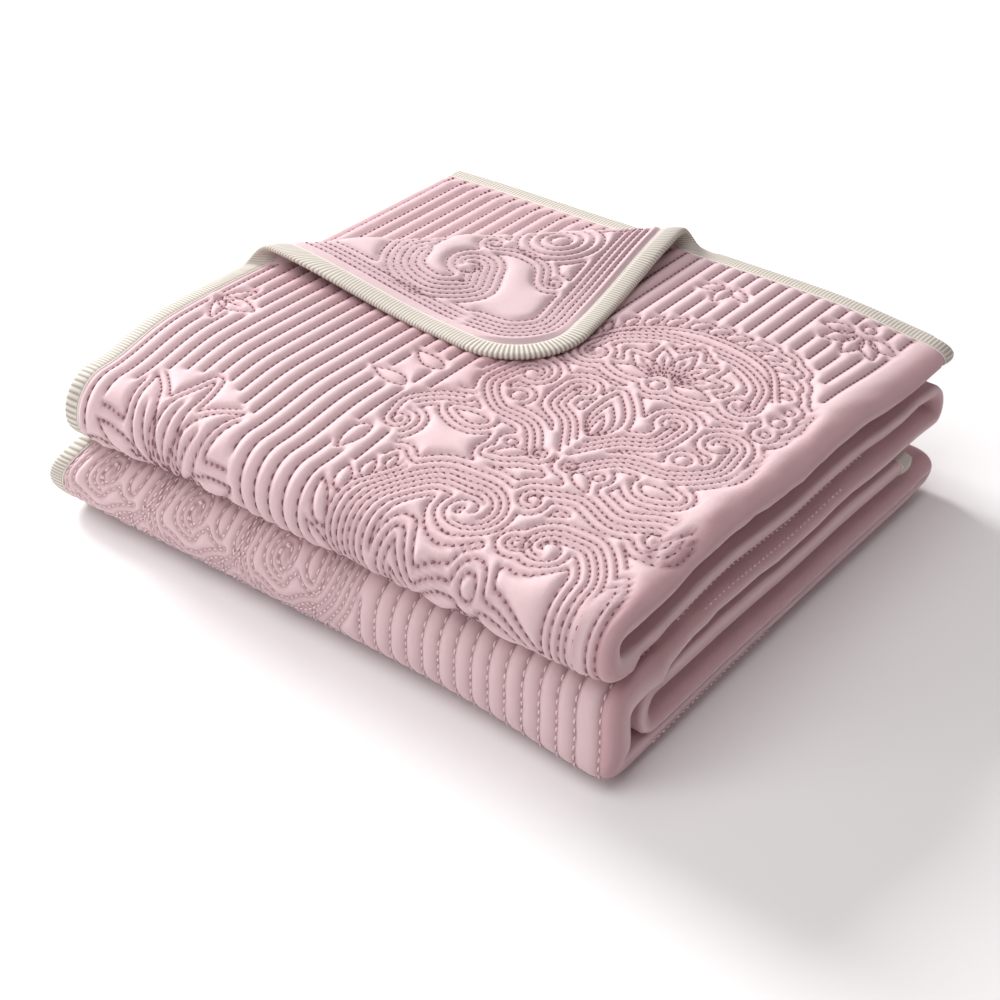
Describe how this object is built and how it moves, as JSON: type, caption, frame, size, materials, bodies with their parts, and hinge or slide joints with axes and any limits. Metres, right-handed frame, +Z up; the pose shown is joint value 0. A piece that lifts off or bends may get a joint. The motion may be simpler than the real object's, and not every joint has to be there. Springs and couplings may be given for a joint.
{
  "type": "folded quilted comforter",
  "caption": "Thin quilted cooling comforter with a ribbed edge binding, folded into a flat rectangular stack with one corner of its top ply turned back.",
  "frame": {"origin": "centre of the folded stack's footprint, on the surface it rests on", "axes": "+X along the longer side, from the bound left hem to the folded right side; +Y from the rolled front folds to the back; +Z up"},
  "size_m": [0.4154, 0.3698, 0.1188],
  "materials": {
    "quilted_cloth": "smooth matt brushed microfibre in dusty pink, machine quilted",
    "edge_binding": "cross-ribbed grosgrain tape in pale grey-beige"
  },
  "bodies": {
    "root": {"quilted_cloth": "quilted_cloth", "edge_binding": "edge_binding"}
  },
  "joints": []
}
